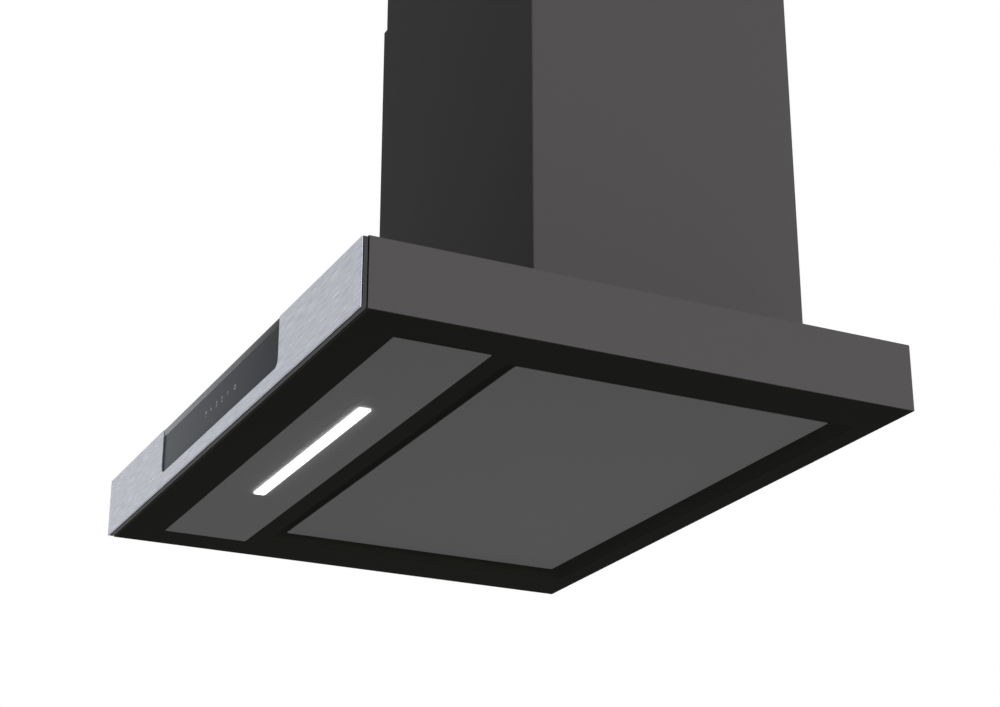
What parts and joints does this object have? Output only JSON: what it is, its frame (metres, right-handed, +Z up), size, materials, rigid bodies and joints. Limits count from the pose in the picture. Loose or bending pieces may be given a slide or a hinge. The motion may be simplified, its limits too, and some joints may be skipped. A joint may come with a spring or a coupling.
{
  "type": "chimney range hood",
  "caption": "Wall-mounted chimney range hood with a brushed steel front, touch glass, light strip, edge-suction cover panel, grease filters, blower and telescoping chimney covers.",
  "frame": {"origin": "on the wall plane, at mid-width, level with the canopy's underside", "axes": "+Z up, +Y into the wall, -Y towards the cook, +X to the cook's right"},
  "size_m": [0.598, 0.46, 0.721],
  "materials": {
    "painted_grey": "matt",
    "painted_black": "matt",
    "brushed_front": "fine horizontal grain",
    "grey_moulding": "satin",
    "black_rubber": "matt",
    "bond": "matt",
    "tinted_glass": "polished, printed behind",
    "circuit_board": "solder mask",
    "white_diffuser": "opal",
    "white_board": "white solder mask",
    "white_moulding": "satin",
    "black_moulding": "satin",
    "raw_aluminium": "satin",
    "galvanised": "spangled zinc",
    "zinc_plated": "satin",
    "ground_steel": "ground",
    "cast_metal": "as cast",
    "copper_wire": "enamelled",
    "lead_sheath": "matt"
  },
  "bodies": {
    "hood": {"canopy_shell": "painted_grey", "bottom_frame": "painted_black", "filter_shelf": "painted_black", "front_carrier": "grey_moulding", "front_seal": "black_rubber", "fascia_bond": "bond", "fascia_steel": "brushed_front", "front_screws": "zinc_plated", "control_glass": "tinted_glass", "touch_board": "circuit_board", "lamp_panel": "painted_grey", "light_diffuser": "white_diffuser", "light_channel": "raw_aluminium", "light_board": "white_board", "lamp_driver": "white_moulding", "hinge_brackets": "zinc_plated", "cover_catches": "white_moulding", "filter_frame_left": "raw_aluminium", "filter_frame_right": "raw_aluminium", "filter_mesh_left": "raw_aluminium", "filter_mesh_right": "raw_aluminium", "blower_box": "galvanised", "scroll_left": "black_moulding", "scroll_right": "black_moulding", "motor_shields": "cast_metal", "motor_stator": "cast_metal", "motor_windings": "copper_wire", "motor_bearings": "ground_steel", "motor_bracket": "galvanised", "outlet_adapter": "black_moulding", "duct_collar": "black_moulding", "flap_pin": "ground_steel", "control_box": "white_moulding", "control_lid": "white_moulding", "cord_gland": "black_moulding", "capacitor": "white_moulding", "lamp_lead": "lead_sheath", "touch_lead": "lead_sheath", "motor_lead": "lead_sheath", "rear_frame": "galvanised", "wall_rail": "galvanised", "lower_chimney": "painted_grey", "chimney_screws": "zinc_plated", "chimney_glides": "white_moulding"},
    "cover": {"cover_skin": "painted_grey", "cover_tray": "painted_black", "hinge_pins": "zinc_plated", "catch_studs": "zinc_plated"},
    "latch_left": {"latch_left": "black_moulding"},
    "latch_right": {"latch_right": "black_moulding"},
    "wheel": {"blower_wheel": "black_moulding", "wheel_shaft": "ground_steel", "motor_rotor": "cast_metal"},
    "flap_front": {"flap_front": "black_moulding"},
    "flap_rear": {"flap_rear": "black_moulding"},
    "upper": {"upper_chimney": "painted_grey", "upper_bracket": "galvanised", "upper_screws": "zinc_plated"}
  },
  "joints": [
    {"name": "cover_hinge", "type": "hinge", "parent": "hood", "child": "cover", "pos_m": [0, -0.03, 0.012], "axis": [1, 0, 0], "range_deg": [0, 90]},
    {"name": "latch_left_slide", "type": "slide", "parent": "hood", "child": "latch_left", "axis": [0, 1, 0], "range_m": [0, 0.0045], "stiffness_N_per_m": 500, "springref_m": -0.004},
    {"name": "latch_right_slide", "type": "slide", "parent": "hood", "child": "latch_right", "axis": [0, 1, 0], "range_m": [0, 0.0045], "stiffness_N_per_m": 500, "springref_m": -0.004},
    {"name": "wheel_axle", "type": "hinge", "parent": "hood", "child": "wheel", "pos_m": [0, -0.1305, 0.175], "axis": [1, 0, 0], "continuous": true},
    {"name": "flap_front_hinge", "type": "hinge", "parent": "hood", "child": "flap_front", "pos_m": [0, -0.1, 0.356], "axis": [-1, 0, 0], "range_deg": [0, 75]},
    {"name": "flap_rear_hinge", "type": "hinge", "parent": "hood", "child": "flap_rear", "pos_m": [0, -0.1, 0.356], "axis": [1, 0, 0], "range_deg": [0, 75]},
    {"name": "chimney_slide", "type": "slide", "parent": "hood", "child": "upper", "axis": [0, 0, 1], "range_m": [-0.18, 0.2]}
  ]
}
